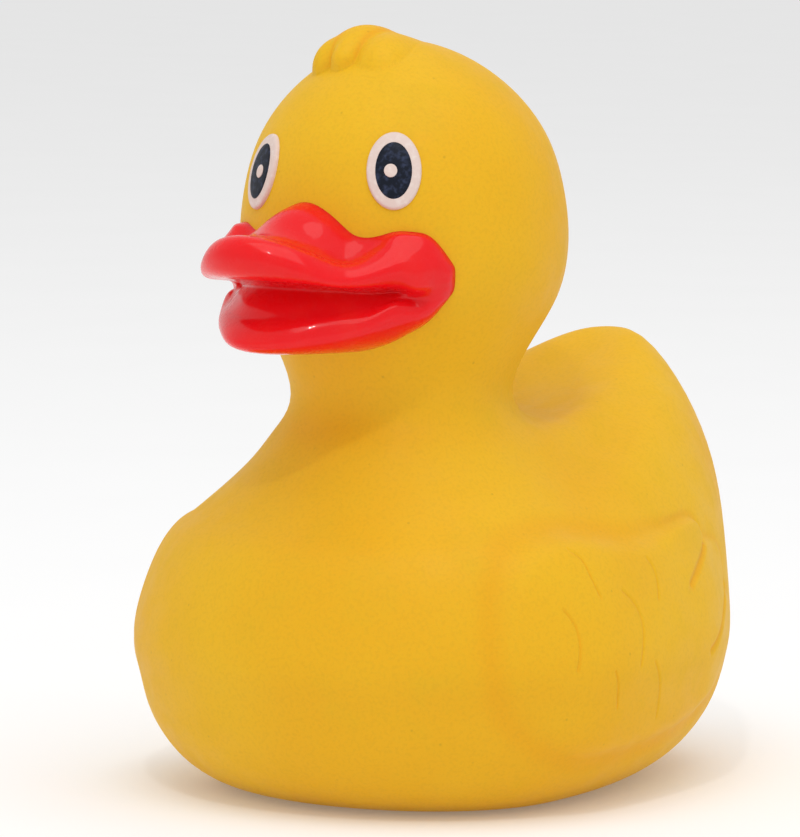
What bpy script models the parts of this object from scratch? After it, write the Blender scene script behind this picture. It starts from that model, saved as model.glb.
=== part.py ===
"""Rubber duck: a bath toy moulded in soft vinyl as one hollow piece, with a squeaker in its base.

Metres, +Z up. The duck faces -Y and its left side is +X. The origin is on the floor, under the
middle of the body.
"""

import math

import bmesh
import bpy
import numpy as np
from mathutils import Vector
from mathutils.bvhtree import BVHTree

# Driving dimensions: the body, measured out from the upright axis of the neck and head.
HEAD_FRONT = 0.0162         # reach of the head forwards from that axis
BILL_LENGTH = 0.0121        # from the face to the bill's tip
TAIL_REACH = 0.0470         # from the axis backwards to the tail
AXIS_Y = (HEAD_FRONT + BILL_LENGTH - TAIL_REACH) / 2
BASE_FRONT = 0.0115         # reach of the flat base, forwards, sideways and backwards
BASE_SIDE = 0.0158
BASE_BACK = 0.0250
BELLY_HEIGHT = 0.0180       # height of the widest part
BELLY_FRONT = 0.0265
BELLY_SIDE = 0.0300
BELLY_BACK = 0.0452
BILGE_FULLNESS = 0.88       # 1 makes the underside a quarter of an ellipse, less makes it fuller
TAIL_ONSET = 0.75           # cosine of the angle off the rear at which the tail has fully set in
TAIL_ROUNDNESS = 2.4        # 2 makes the tail's top round from side to side, more makes it flatter

# Waterlines from the belly to the neck: height, reach forwards, sideways and backwards, then
# where the tail draws the same line on the centre line: reach, height and half width.
WATERLINES = (
    (BELLY_HEIGHT, BELLY_FRONT, BELLY_SIDE, BELLY_BACK, BELLY_BACK, BELLY_HEIGHT, 0.0220),
    (0.0262, 0.0238, 0.0271, 0.0440, TAIL_REACH, 0.0290, 0.0245),
    (0.0300, 0.0204, 0.0235, 0.0392, 0.0460, 0.0385, 0.0235),
    (0.0332, 0.0173, 0.0194, 0.0318, 0.0410, 0.0466, 0.0195),
    (0.0362, 0.0150, 0.0161, 0.0225, 0.0305, 0.0458, 0.0160),
    (0.0392, 0.0131, 0.0136, 0.0162, 0.0195, 0.0403, 0.0160),
    (0.0435, 0.0114, 0.0119, 0.0128, 0.0128, 0.0435, 0.0160),
)

# The head is an ellipsoid on the neck's axis.
HEAD_HEIGHT = 0.0597        # height of its centre
HEAD_RISE = 0.0217          # from its centre to its crown
HEAD_DROP = 0.0172          # from its centre down to its lowest point, inside the neck
HEAD_SIDE = 0.0177
HEAD_BACK = 0.0192
HEAD_LOW_ANGLE = -34        # degrees below the equator where the neck takes over

# The vinyl's wall, and the hole in the base that the squeaker is pressed into.
WALL = 0.0025
SEAT_RADIUS = 0.0066        # the recess that takes the squeaker's flange
SEAT_DEPTH = 0.0013
HOLE_RADIUS = 0.0052
FIT = 0.0003                # clearance all round the squeaker
SQUEAKER_HEIGHT = 0.0068
SQUEAKER_WALL = 0.0010
AIR_HOLE_RADIUS = 0.0011

# The bill wraps round the face. A mouth section is an azimuth off the front, in degrees, and an
# outline from the brow over the upper lip, the tongue and the lower lip to the chin. Its reaches
# are hundredths of the bill's length out from the face, and its heights are tenths of a
# millimetre over the mouth's line. The corner section is its azimuth, the heights of its brow and
# chin in the same measure, and how far it stands off the face, in hundredths of the bill's length.
MOUTH_HEIGHT = 0.0555
HEIGHT_STEP = 0.0001
MOUTH_SECTIONS = (
    (0, ((0, 94), (20, 86), (41, 72), (64, 65), (88, 62), (99, 44), (92, 22), (73, 15), (44, 13),
         (20, 9), (38, 1), (53, -13), (60, -36), (67, -36), (76, -47), (69, -61), (23, -67), (0, -71))),
    (14, ((0, 84), (13, 74), (31, 62), (51, 55), (70, 49), (82, 34), (77, 18), (60, 12), (35, 11),
         (14, 7), (30, 0), (42, -13), (47, -33), (54, -33), (62, -45), (56, -59), (14, -65), (0, -68))),
    (22, ((0, 69), (7, 60), (17, 50), (31, 39), (46, 33), (60, 21), (58, 11), (46, 8), (27, 7),
         (11, 4), (22, -2), (31, -13), (36, -27), (40, -26), (45, -36), (41, -51), (10, -62), (0, -66))),
    (30, ((0, 63), (5, 57), (11, 50), (20, 44), (29, 36), (40, 22), (39, 11), (30, 7), (18, 5), (6, 2),
         (13, -3), (20, -9), (23, -17), (27, -18), (32, -29), (28, -44), (5, -56), (0, -61))),
    (37, ((0, 64), (5, 62), (11, 59), (16, 53), (22, 45), (31, 30), (31, 17), (24, 9), (15, 5), (7, 1),
         (9, -3), (12, -6), (14, -8), (18, -11), (22, -22), (16, -38), (-2, -50), (0, -54))),
    (43.5, ((0, 64), (3, 62), (8, 60), (12, 54), (17, 46), (23, 35), (26, 24), (25, 14), (22, 6),
         (14, 1), (9, -2), (7, -5), (7, -8), (9, -13), (13, -22), (8, -33), (-5, -41), (0, -45))),
    (49.5, ((0, 59), (2, 57), (6, 53), (10, 47), (13, 40), (16, 32), (16, 24), (16, 16), (14, 9),
         (11, 4), (9, -1), (7, -5), (6, -9), (6, -14), (5, -20), (0, -27), (-8, -32), (0, -35))),
    (55, ((0, 47), (0, 45), (3, 42), (5, 38), (7, 33), (8, 28), (8, 22), (8, 16), (7, 11), (5, 6),
         (4, 2), (3, -2), (2, -6), (0, -10), (-2, -14), (-5, -17), (-9, -19), (0, -21))),
)
CORNER_SECTION = (61.5, 28, -3, -5)
FACE_RELIEF = 0.0045        # the face's reach is read this far over the mouth's line
BILL_ROOT = 0.0080          # reach of the bill's inner edge, inside the head
BILL_SINK = 0.0002          # the bill's edges start this far inside the skin
SECTION_STEPS = 2
OUTLINE_STEPS = 2

# The eyes are raised ovals, one each side of the bill: white, then the pupil and its spark.
EYE_AZIMUTH = 36
EYE_HEIGHT = 0.0682
EYE_HALF_WIDTH = 0.0029
EYE_HALF_HEIGHT = 0.0040
EYE_LIFT = 0.0004
EYE_BEVEL = 0.0003
PUPIL_HALF_WIDTH = 0.0019
PUPIL_HALF_HEIGHT = 0.0029
SPARK_RADIUS = 0.0008
SPARK_SHIFT = 0.0003        # towards the bill

# The tuft is three locks of the moulding, combed forwards over the brow. Each row is one lock:
# the tip's place across and its reach from the axis.
LOCKS = ((-0.0046, 0.0082), (-0.0010, 0.0088), (0.0033, 0.0078))
LOCK_ROOT_BACK = 0.0005     # the locks rise out of the crown this far behind the axis
LOCK_HALF_WIDTH = 0.0022
LOCK_HALF_THICKNESS = 0.0014
LOCK_LIFT = 0.0005

# The wings are pads on the flanks. The outline runs back along the top edge, round the three
# feather tips, and forwards under the wing: places behind the neck's axis and up from the floor.
WING_LIFT = 0.0008
WING_BEVEL = 0.0016
WING_TOP = ((-0.0108, 0.0279), (-0.0087, 0.0289), (-0.0045, 0.0295), (0.0012, 0.0288),
            (0.0065, 0.0281), (0.0120, 0.0282), (0.0169, 0.0286), (0.0215, 0.0292))
WING_SECOND_TIP = ((0.0223, 0.0258), (0.0245, 0.0256), (0.0273, 0.0259))
WING_THIRD_TIP = ((0.0253, 0.0212), (0.0273, 0.0203), (0.0293, 0.0201))
WING_UNDER = ((0.0271, 0.0155), (0.0225, 0.0126), (0.0170, 0.0105), (0.0095, 0.0088),
              (0.0023, 0.0073), (-0.0045, 0.0069), (-0.0101, 0.0083), (-0.0132, 0.0116),
              (-0.0142, 0.0155), (-0.0140, 0.0200), (-0.0128, 0.0241), (-0.0108, 0.0279))
WING_STEPS = 2

TURN_STEPS = 56
UNDER_STEPS = 7
SPAN_STEPS = 3
SUNK = 0.0010               # what is added to the skin reaches this far into it
YELLOW, RED, WHITE, BLACK = range(4)


def clear_scene():
    """Leaves nothing in the file but what is drawn here."""
    for obj in list(bpy.data.objects):
        bpy.data.objects.remove(obj)


def through(rows, steps):
    """Rows joined by a smooth curve that passes through every one of them."""
    rows = np.array(rows, float)
    padded = np.vstack([2 * rows[0] - rows[1], rows, 2 * rows[-1] - rows[-2]])
    out = []
    for a, b, c, d in zip(padded, padded[1:], padded[2:], padded[3:]):
        for k in range(steps):
            t = k / steps
            out.append(0.5 * (2 * b + (c - a) * t + (2 * a - 5 * b + 4 * c - d) * t * t
                              + (3 * b - a - 3 * c + d) * t ** 3))
    out.append(rows[-1])
    return np.array(out)


def skin_rows():
    """Waterlines from the base's edge to the crown, in the order of WATERLINES."""
    under = []
    for k in range(UNDER_STEPS):
        turn = math.pi / 2 * k / UNDER_STEPS
        rise = BELLY_HEIGHT * (1 - math.cos(turn) ** BILGE_FULLNESS)
        run = math.sin(turn) ** BILGE_FULLNESS
        back = BASE_BACK + (BELLY_BACK - BASE_BACK) * run
        under.append((rise, BASE_FRONT + (BELLY_FRONT - BASE_FRONT) * run,
                      BASE_SIDE + (BELLY_SIDE - BASE_SIDE) * run, back, back, rise, WATERLINES[0][6]))
    over = list(WATERLINES)
    for angle in (HEAD_LOW_ANGLE, 0, 25, 50, 70, 90):
        a = math.radians(angle)
        rise = HEAD_HEIGHT + (HEAD_RISE if angle > 0 else HEAD_DROP) * math.sin(a)
        level = math.cos(a) if angle < 90 else 0.0
        over.append((rise, HEAD_FRONT * level, HEAD_SIDE * level, HEAD_BACK * level,
                     HEAD_BACK * level, rise, WATERLINES[-1][6]))
    return np.vstack([under, through(over, SPAN_STEPS)])


def skin_points(rows, turns):
    """The skin as a grid of points, one ring for each row."""
    t = np.linspace(0, 2 * math.pi, turns, endpoint=False)
    s, c = np.sin(t), np.cos(t)
    height, front, side, back, tail_reach, tail_height, tail_half = (rows[:, k, None] for k in range(7))
    x = side * s
    y = -np.where(c > 0, front, back) * c
    onset = np.clip(-c / TAIL_ONSET, 0, 1)
    tail = onset ** 2 * (3 - 2 * onset) * np.exp(-np.log(2) * np.abs(x / tail_half) ** TAIL_ROUNDNESS)
    y = y * (1 - tail) - tail_reach * c * tail
    z = height * (1 - tail) + tail_height * tail
    return np.stack([x, y + AXIS_Y, z], -1)


def inside_points(points, wall):
    """The skin's grid drawn inwards by the wall, down to the top of the floor."""
    along = np.roll(points, -1, 1) - np.roll(points, 1, 1)
    upward = np.gradient(points, axis=0)
    outward = np.cross(along, upward)
    outward /= np.linalg.norm(outward, axis=2)[..., None] + 1e-12
    inner = points - outward * wall
    inner[-1] = points[-1] - np.array([0, 0, wall])
    inner[..., 2] = np.maximum(inner[..., 2], wall)
    return inner


def loft(name, rings, closed=False, slots=()):
    """A solid through rings of points. A ring drawn to one place becomes a point, and the others
    at the ends get flat caps. A closed loft runs from its last ring back to its first. The slots
    are the materials of the strips between the rings, in order."""
    bm = bmesh.new()
    grid = []
    for ring in rings:
        ring = np.asarray(ring, float)
        point = np.ptp(ring, axis=0).max() < 1e-6
        grid.append([bm.verts.new(p) for p in (ring[:1] if point else ring)])
    pairs = list(zip(grid, grid[1:])) + ([(grid[-1], grid[0])] if closed else [])
    for strip, (low, high) in enumerate(pairs):
        for k in range(max(len(low), len(high))):
            n = k + 1
            corners = [low[k % len(low)], low[n % len(low)], high[n % len(high)], high[k % len(high)]]
            face = bm.faces.new(list(dict.fromkeys(corners)))
            face.material_index = slots[strip] if strip < len(slots) else 0
    if not closed:
        for ring in (grid[0], grid[-1]):
            if len(ring) > 2:
                bm.faces.new(ring)
    bmesh.ops.recalc_face_normals(bm, faces=bm.faces)
    mesh = bpy.data.meshes.new(name)
    bm.to_mesh(mesh)
    bm.free()
    mesh.shade_smooth()
    obj = bpy.data.objects.new(name, mesh)
    bpy.context.scene.collection.objects.link(obj)
    return obj


def tree_of(obj):
    """The object's surface, for casting lines at it."""
    mesh = obj.data
    return BVHTree.FromPolygons([v.co for v in mesh.vertices], [tuple(p.vertices) for p in mesh.polygons])


def on_skin(tree, place, direction):
    """The skin's point and outward normal that a line from outside meets."""
    hit, normal, _, _ = tree.ray_cast(Vector(place), Vector(direction))
    if normal.dot(Vector(direction)) > 0:
        normal = -normal
    return np.array(hit), np.array(normal)


def skin_reach(tree, azimuth, height):
    """Reach of the skin from the neck's axis at an azimuth off the front."""
    a = math.radians(azimuth)
    out = np.array((math.sin(a), -math.cos(a), 0))
    axis = np.array((0, AXIS_Y, height))
    hit, _ = on_skin(tree, axis + out * 0.1, -out)
    return float(np.linalg.norm(hit - axis))


def bill_sections(tree):
    """The left half's sections, from the middle of the face: rows of azimuth, reach and height."""
    sections = []
    for azimuth, outline in MOUTH_SECTIONS:
        face = skin_reach(tree, azimuth, MOUTH_HEIGHT + FACE_RELIEF)
        section = [(azimuth, face + reach / 100 * BILL_LENGTH, MOUTH_HEIGHT + height * HEIGHT_STEP)
                   for reach, height in outline]
        for end in (0, -1):
            height = section[end][2]
            section[end] = (azimuth, skin_reach(tree, azimuth, height) - BILL_SINK, height)
        sections.append(section)
    azimuth, brow, chin, stand = CORNER_SECTION
    section = []
    for share in np.linspace(0, 1, len(MOUTH_SECTIONS[0][1])):
        rise = brow + (chin - brow) * (1 - math.cos(math.pi * share)) / 2
        height = MOUTH_HEIGHT + rise * HEIGHT_STEP
        off = stand / 100 * BILL_LENGTH * math.sin(math.pi * share) ** 0.75 - BILL_SINK
        section.append((azimuth, skin_reach(tree, azimuth, height) + off, height))
    sections.append(section)
    return np.array(sections)


def bill(tree):
    """The bill, lofted from its right corner round the front to its left corner."""
    half = bill_sections(tree)
    mirrored = half[:0:-1] * np.array((-1, 1, 1))
    sections = np.vstack([mirrored, half])
    count = sections.shape[1]
    sections = through(sections.reshape(len(sections), -1), SECTION_STEPS)
    rings = []
    for section in sections.reshape(len(sections), count, 3):
        line = through(section, OUTLINE_STEPS)
        line = np.vstack([(line[0, 0], BILL_ROOT, line[0, 2]), line, (line[-1, 0], BILL_ROOT, line[-1, 2])])
        a = np.radians(line[:, 0])
        rings.append(np.stack([line[:, 1] * np.sin(a), AXIS_Y - line[:, 1] * np.cos(a), line[:, 2]], -1))
    return loft("bill", rings, slots=(RED,) * len(rings))


def pad(name, tree, origin, across, rings, lifts, sunk, slots=()):
    """A raised pad that follows the skin. Its rings are places across and up from the origin, seen
    along the pad's own line of sight, and each ring stands off the skin by its lift."""
    across = np.array(across, float)
    out = np.cross(across, (0, 0, 1))
    layers = []
    for ring, lift in zip(rings, lifts):
        layer = []
        for u, v in ring:
            hit, normal = on_skin(tree, origin + across * u + np.array((0, 0, v)) + out * 0.1, -out)
            layer.append(hit + normal * lift)
        layers.append(layer)
    foot = [on_skin(tree, origin + across * u + np.array((0, 0, v)) + out * 0.1, -out) for u, v in rings[0]]
    layers.insert(0, [hit - normal * sunk for hit, normal in foot])
    return loft(name, layers, slots=slots)


def oval(half_width, half_height, shift=0.0, count=20):
    """An upright oval, its centre shifted sideways."""
    t = np.linspace(0, 2 * math.pi, count, endpoint=False)
    return np.stack([half_width * np.cos(t) + shift, half_height * np.sin(t)], -1)


def eye(tree, side):
    """The eye on one side: 1 is the left, -1 the right."""
    a = math.radians(EYE_AZIMUTH) * side
    across = (math.cos(a), math.sin(a), 0)
    rings = [oval(EYE_HALF_WIDTH, EYE_HALF_HEIGHT),
             oval(EYE_HALF_WIDTH - EYE_BEVEL, EYE_HALF_HEIGHT - EYE_BEVEL),
             oval(PUPIL_HALF_WIDTH, PUPIL_HALF_HEIGHT),
             oval(SPARK_RADIUS, SPARK_RADIUS, -side * SPARK_SHIFT),
             oval(0, 0, -side * SPARK_SHIFT)]
    lifts = (0, EYE_LIFT, EYE_LIFT, EYE_LIFT, EYE_LIFT)
    slots = (WHITE, WHITE, WHITE, BLACK, WHITE)
    return pad("eye", tree, np.array((0, AXIS_Y, EYE_HEIGHT)), across, rings, lifts, SUNK, slots)


def wing(tree, side):
    """The wing on one side: 1 is the left, -1 the right."""
    outline = np.vstack([through(line, WING_STEPS)[:-1] for line in
                         (WING_TOP, (WING_TOP[-1], WING_SECOND_TIP[0]), WING_SECOND_TIP,
                          (WING_SECOND_TIP[-1], WING_THIRD_TIP[0]), WING_THIRD_TIP,
                          (WING_THIRD_TIP[-1], WING_UNDER[0]), WING_UNDER)])
    middle = outline.mean(0)
    spread = np.abs(outline - middle).max()
    scales = (1, 1 - WING_BEVEL / spread, 0.82, 0.68, 0.52, 0.36, 0.18, 0)
    rings = [middle + (outline - middle) * scale for scale in scales]
    lifts = (-0.0001, 0.75 * WING_LIFT) + (WING_LIFT,) * 6
    rings = [ring * np.array((side, 1)) for ring in rings]
    return pad("wing", tree, np.array((0, AXIS_Y, 0)), (0, side, 0), rings, lifts, SUNK)


def lock(tree, tip_x, tip_reach):
    """One lock of the tuft, drawn forwards from the crown to its tip."""
    rings = []
    t = np.linspace(0, 2 * math.pi, 12, endpoint=False)
    for k in range(9):
        s = k / 8
        swell = math.sin(math.pi * min(s * 0.9 + 0.06, 1)) ** 0.8 if k < 8 else 0.0
        x = tip_x * s ** 0.8
        y = AXIS_Y + LOCK_ROOT_BACK - (LOCK_ROOT_BACK + tip_reach) * s
        crown, _ = on_skin(tree, (x, y, 0.2), (0, 0, -1))
        centre = crown[2] + LOCK_LIFT * math.sin(math.pi * s)
        rings.append(np.stack([x + LOCK_HALF_WIDTH * swell * np.cos(t), np.full(12, y),
                               centre + LOCK_HALF_THICKNESS * swell * np.sin(t)], -1))
    return loft("lock", rings)


def turned(name, profile, steps):
    """A closed outline of radii and heights turned about the vertical through the origin."""
    rings = []
    for k in range(steps):
        a = 2 * math.pi * k / steps
        rings.append([(r * math.cos(a), r * math.sin(a), z) for r, z in profile])
    return loft(name, rings, closed=True)


def disc(name, radius, low, high, steps=32):
    """An upright cylinder on the vertical through the origin."""
    t = np.linspace(0, 2 * math.pi, steps, endpoint=False)
    circle = np.stack([radius * np.cos(t), radius * np.sin(t)], -1)
    return loft(name, [np.insert(circle, 2, z, axis=1) for z in (low, high)])


def combine(target, tool, operation):
    """Joins or cuts the target by a tool that is kept as a hidden guide."""
    step = target.modifiers.new(tool.name, "BOOLEAN")
    step.object = tool
    step.operation = operation
    step.solver = "EXACT"
    tool.hide_render = True
    tool.display_type = "WIRE"


def material(name, colour, roughness):
    """A plain finish for one material slot."""
    made = bpy.data.materials.new(name)
    made.use_nodes = True
    shader = made.node_tree.nodes["Principled BSDF"]
    shader.inputs["Base Color"].default_value = (*colour, 1)
    shader.inputs["Roughness"].default_value = roughness
    return made


def squeaker():
    """A plastic whistle plug: a flange in the recess, a barrel through the hole, a barb over it."""
    flange = SEAT_RADIUS - FIT
    barrel = HOLE_RADIUS - FIT
    top_of_flange = SEAT_DEPTH - FIT
    barb = WALL + FIT
    return turned("squeaker", [
        (AIR_HOLE_RADIUS, FIT), (flange - 0.0003, FIT), (flange, 2 * FIT), (flange, top_of_flange),
        (barrel, top_of_flange), (barrel, barb), (barrel + 0.0006, barb), (barrel + 0.0006, barb + 0.0006),
        (barrel - 0.0006, SQUEAKER_HEIGHT), (barrel - 0.0006 - SQUEAKER_WALL, SQUEAKER_HEIGHT),
        (barrel - 0.0006 - SQUEAKER_WALL, top_of_flange + FIT), (AIR_HOLE_RADIUS, top_of_flange + FIT)], 32)


clear_scene()
vinyl = material("vinyl_yellow", (0.85, 0.48, 0.03), 0.55)
bill_paint = material("bill_red", (0.80, 0.03, 0.02), 0.2)
eye_white = material("eye_white", (0.80, 0.72, 0.70), 0.3)
eye_black = material("eye_black", (0.01, 0.01, 0.012), 0.3)
grey_plastic = material("squeaker_plastic", (0.75, 0.75, 0.72), 0.4)

rows = skin_rows()
duck = loft("duck_body", skin_points(rows, TURN_STEPS))
skin = tree_of(duck)
parts = [bill(skin)]
parts += [lock(skin, *row) for row in LOCKS]
parts += [wing(skin, side) for side in (1, -1)]
parts += [eye(skin, side) for side in (1, -1)]
cavity = loft("cavity", inside_points(skin_points(rows[::2], TURN_STEPS // 2), WALL))
recess = disc("recess", SEAT_RADIUS, -WALL, SEAT_DEPTH)
hole = disc("hole", HOLE_RADIUS, -WALL, 2 * WALL)

for obj in [duck, cavity, recess, hole] + parts:
    for slot in (vinyl, bill_paint, eye_white, eye_black):
        obj.data.materials.append(slot)
for piece in parts:
    combine(duck, piece, "UNION")
for tool in (cavity, recess, hole):
    combine(duck, tool, "DIFFERENCE")

squeaker().data.materials.append(grey_plastic)
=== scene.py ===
"""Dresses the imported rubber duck: a soft vinyl bath toy with a painted bill and eyes.

Metres, +Z up. The duck faces -Y and its left side is +X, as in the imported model.
"""

import logging
import math
from dataclasses import dataclass, field
from enum import Enum

import bmesh
import bpy
import numpy as np
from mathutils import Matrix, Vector
from mathutils.bvhtree import BVHTree


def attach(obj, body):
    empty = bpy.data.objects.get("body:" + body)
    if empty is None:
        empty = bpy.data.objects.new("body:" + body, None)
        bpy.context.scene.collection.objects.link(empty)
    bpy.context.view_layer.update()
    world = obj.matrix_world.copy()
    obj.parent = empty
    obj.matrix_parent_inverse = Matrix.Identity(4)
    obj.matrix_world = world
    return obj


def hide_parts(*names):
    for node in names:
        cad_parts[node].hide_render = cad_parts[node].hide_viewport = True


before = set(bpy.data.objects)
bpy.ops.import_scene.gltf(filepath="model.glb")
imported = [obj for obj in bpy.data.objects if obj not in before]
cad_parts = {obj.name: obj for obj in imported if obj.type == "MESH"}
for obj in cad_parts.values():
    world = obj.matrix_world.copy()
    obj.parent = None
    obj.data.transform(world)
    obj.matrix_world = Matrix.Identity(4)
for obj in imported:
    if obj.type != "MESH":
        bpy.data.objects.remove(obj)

LOG = logging.getLogger("rubber_duck")
MM = 0.001
CLEAR = 0.1  # a ray starts this far off, outside the duck
ROOT = "root"
Colour = tuple[float, float, float, float]
Line = tuple[tuple[float, float], ...]
Socket = bpy.types.NodeSocket


class Slot(Enum):
    """The record's material slots."""

    VINYL = "vinyl"
    BILL_PAINT = "bill_paint"
    EYE_WHITE = "eye_white"
    EYE_BLACK = "eye_black"
    SQUEAKER = "squeaker_plastic"


class Node(Enum):
    """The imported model's parts."""

    DUCK_BODY = "duck_body"
    SQUEAKER = "squeaker"


def natural_spline(rows: np.ndarray, at: np.ndarray) -> np.ndarray:
    """Samples the smooth curve through rows that are one step apart.

    Args:
        rows: One row for each whole step.
        at: Places along the rows, in steps.

    Returns:
        One row for each place.
    """
    rows = np.asarray(rows, float)
    count = len(rows)
    system = np.eye(count)
    right = np.zeros_like(rows)
    for k in range(1, count - 1):
        system[k, k - 1:k + 2] = (1, 4, 1)
        right[k] = 6 * (rows[k - 1] - 2 * rows[k] + rows[k + 1])
    bend = np.linalg.solve(system, right)
    at = np.clip(np.asarray(at, float), 0, count - 1)
    low = np.minimum(at.astype(int), count - 2)
    t = (at - low)[:, None]
    s = 1 - t
    return (s * rows[low] + t * rows[low + 1]
            + ((s ** 3 - s) * bend[low] + (t ** 3 - t) * bend[low + 1]) / 6)


def even_spline(rows: np.ndarray, count: int) -> np.ndarray:
    """Samples the smooth curve through rows at even steps, from the first row to the last.

    Args:
        rows: The rows.
        count: How many samples are taken.

    Returns:
        The samples.
    """
    return natural_spline(rows, np.linspace(0, len(rows) - 1, count))


def smoothstep(low: float, high: float, value: np.ndarray) -> np.ndarray:
    """Rises smoothly from 0 at low to 1 at high.

    Args:
        low: Where it leaves 0.
        high: Where it reaches 1.
        value: The values to map.

    Returns:
        The mapped values.
    """
    t = np.clip((value - low) / (high - low), 0, 1)
    return t * t * (3 - 2 * t)


def mesh_object(name: str, bm: bmesh.types.BMesh) -> bpy.types.Object:
    """Makes a smooth-shaded object from a bmesh, which it frees.

    Args:
        name: The object's name.
        bm: The mesh.

    Returns:
        The object, at the origin.
    """
    mesh = bpy.data.meshes.new(name)
    bm.to_mesh(mesh)
    bm.free()
    mesh.shade_smooth()
    obj = bpy.data.objects.new(name, mesh)
    bpy.context.scene.collection.objects.link(obj)
    return obj


def baked_object(obj: bpy.types.Object, name: str) -> bpy.types.Object:
    """Turns an object and its modifiers into a plain mesh object.

    Args:
        obj: The object with live modifiers, which is removed.
        name: The name of the plain object.

    Returns:
        The plain object, at the origin.
    """
    bpy.context.view_layer.update()
    graph = bpy.context.evaluated_depsgraph_get()
    mesh = bpy.data.meshes.new_from_object(obj.evaluated_get(graph), depsgraph=graph)
    bpy.data.objects.remove(obj)
    mesh.name = name
    mesh.shade_smooth()
    plain = bpy.data.objects.new(name, mesh)
    bpy.context.scene.collection.objects.link(plain)
    return plain


def skin_tree(obj: bpy.types.Object) -> BVHTree:
    """Gives the search tree of an object's mesh."""
    mesh = obj.data
    return BVHTree.FromPolygons([v.co for v in mesh.vertices],
                                [tuple(p.vertices) for p in mesh.polygons])


def lay_band(bm: bmesh.types.BMesh, first: list, second: list) -> None:
    """Lays a closed band of faces between two rings of vertices.

    Args:
        bm: The mesh.
        first: One ring.
        second: The next ring, of as many vertices.
    """
    for k in range(len(first)):
        n = (k + 1) % len(first)
        bm.faces.new((first[k], first[n], second[n], second[k]))


def lay_fan(bm: bmesh.types.BMesh, ring: list, tip: bmesh.types.BMVert) -> None:
    """Lays a closed fan of faces between a ring of vertices and one vertex.

    Args:
        bm: The mesh.
        ring: The ring.
        tip: The vertex.
    """
    for k, vert in enumerate(ring):
        bm.faces.new((vert, ring[(k + 1) % len(ring)], tip))


@dataclass(frozen=True)
class Mottle:
    """An uneven pattern: lumps to the metre, octaves, and the span of its noise that counts."""

    scale: float
    octaves: float = 2.0
    low: float = 0.3
    high: float = 0.7


@dataclass(frozen=True)
class Relief:
    """A fine relief: lumps to the metre, octaves, strength, and height in metres."""

    scale: float
    octaves: float
    strength: float
    height: float


class NodeGraph:
    """A node tree that is built one node at a time."""

    def __init__(self, tree: bpy.types.NodeTree) -> None:
        """Keeps the tree."""
        self.tree = tree

    def add(self, kind: str, inputs: dict[str | int, object] | None = None,
            **settings: object) -> bpy.types.Node:
        """Adds a node.

        Args:
            kind: The node's type.
            inputs: Values or sockets for its inputs, by name or number.
            **settings: The node's own properties.

        Returns:
            The node.
        """
        node = self.tree.nodes.new(kind)
        for key, value in settings.items():
            setattr(node, key, value)
        self.fill(node, inputs or {})
        return node

    def fill(self, node: bpy.types.Node, inputs: dict[str | int, object]) -> None:
        """Links or sets some of a node's inputs.

        Args:
            node: The node.
            inputs: Values or sockets for its inputs, by name or number.
        """
        for key, value in inputs.items():
            if isinstance(value, Socket):
                self.tree.links.new(value, node.inputs[key])
            else:
                node.inputs[key].default_value = value

    def math(self, operation: str, *values: object) -> Socket:
        """Adds a Math node.

        Args:
            operation: What it does.
            *values: Its values or sockets, in order.

        Returns:
            Its output.
        """
        return self.add("ShaderNodeMath", dict(enumerate(values)), operation=operation).outputs[0]

    def ramp(self, value: object, low: object, high: object, start: object = 0.0,
             end: object = 1.0) -> Socket:
        """Adds a smooth Map Range from low..high to start..end.

        Args:
            value: What is mapped.
            low: Where the result is start.
            high: Where the result is end.
            start: The first result.
            end: The last result.

        Returns:
            Its output.
        """
        inputs = dict(enumerate((value, low, high, start, end)))
        return self.add("ShaderNodeMapRange", inputs, interpolation_type="SMOOTHSTEP").outputs[0]

    def noise(self, place: Socket, scale: float, octaves: float) -> Socket:
        """Adds a Noise Texture.

        Args:
            place: The coordinates it reads.
            scale: Its lumps to the metre.
            octaves: Its octaves.

        Returns:
            Its factor.
        """
        inputs = {"Vector": place, "Scale": scale, "Detail": octaves}
        return self.add("ShaderNodeTexNoise", inputs).outputs["Fac"]

    def mottle(self, place: Socket, pattern: Mottle, start: float = 0.0,
               end: float = 1.0) -> Socket:
        """Adds an uneven pattern.

        Args:
            place: The coordinates it reads.
            pattern: The pattern.
            start: The result where the noise is low.
            end: The result where it is high.

        Returns:
            The result.
        """
        noise = self.noise(place, pattern.scale, pattern.octaves)
        return self.ramp(noise, pattern.low, pattern.high, start, end)

    def relief(self, place: Socket, layers: tuple[Relief, ...]) -> Socket:
        """Adds fine reliefs, each over the one before.

        Args:
            place: The coordinates they read.
            layers: The reliefs.

        Returns:
            The bumped normal.
        """
        under = {}
        for layer in layers:
            height = self.noise(place, layer.scale, layer.octaves)
            bump = self.add("ShaderNodeBump", {"Strength": layer.strength, "Height": height,
                                               "Distance": layer.height, **under})
            under = {"Normal": bump.outputs["Normal"]}
        return under["Normal"]

    def blend(self, share: object, first: object, second: object) -> Socket:
        """Adds a colour Mix node.

        Args:
            share: The second colour's share.
            first: First colour or socket.
            second: Second colour or socket.

        Returns:
            The mixed colour.
        """
        inputs = {0: share, 6: first, 7: second}
        return self.add("ShaderNodeMix", inputs, data_type="RGBA").outputs[2]

    def attribute(self, name: str, kind: str = "FLOAT") -> Socket:
        """Adds a Named Attribute node of a Geometry Nodes tree and gives its output."""
        node = self.add("GeometryNodeInputNamedAttribute", {"Name": name}, data_type=kind)
        return node.outputs["Attribute"]

    def scaled(self, vector: Socket, factor: Socket) -> Socket:
        """Adds a node that scales a vector and gives its output."""
        return self.add("ShaderNodeVectorMath", {0: vector, "Scale": factor},
                        operation="SCALE").outputs[0]


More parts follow.
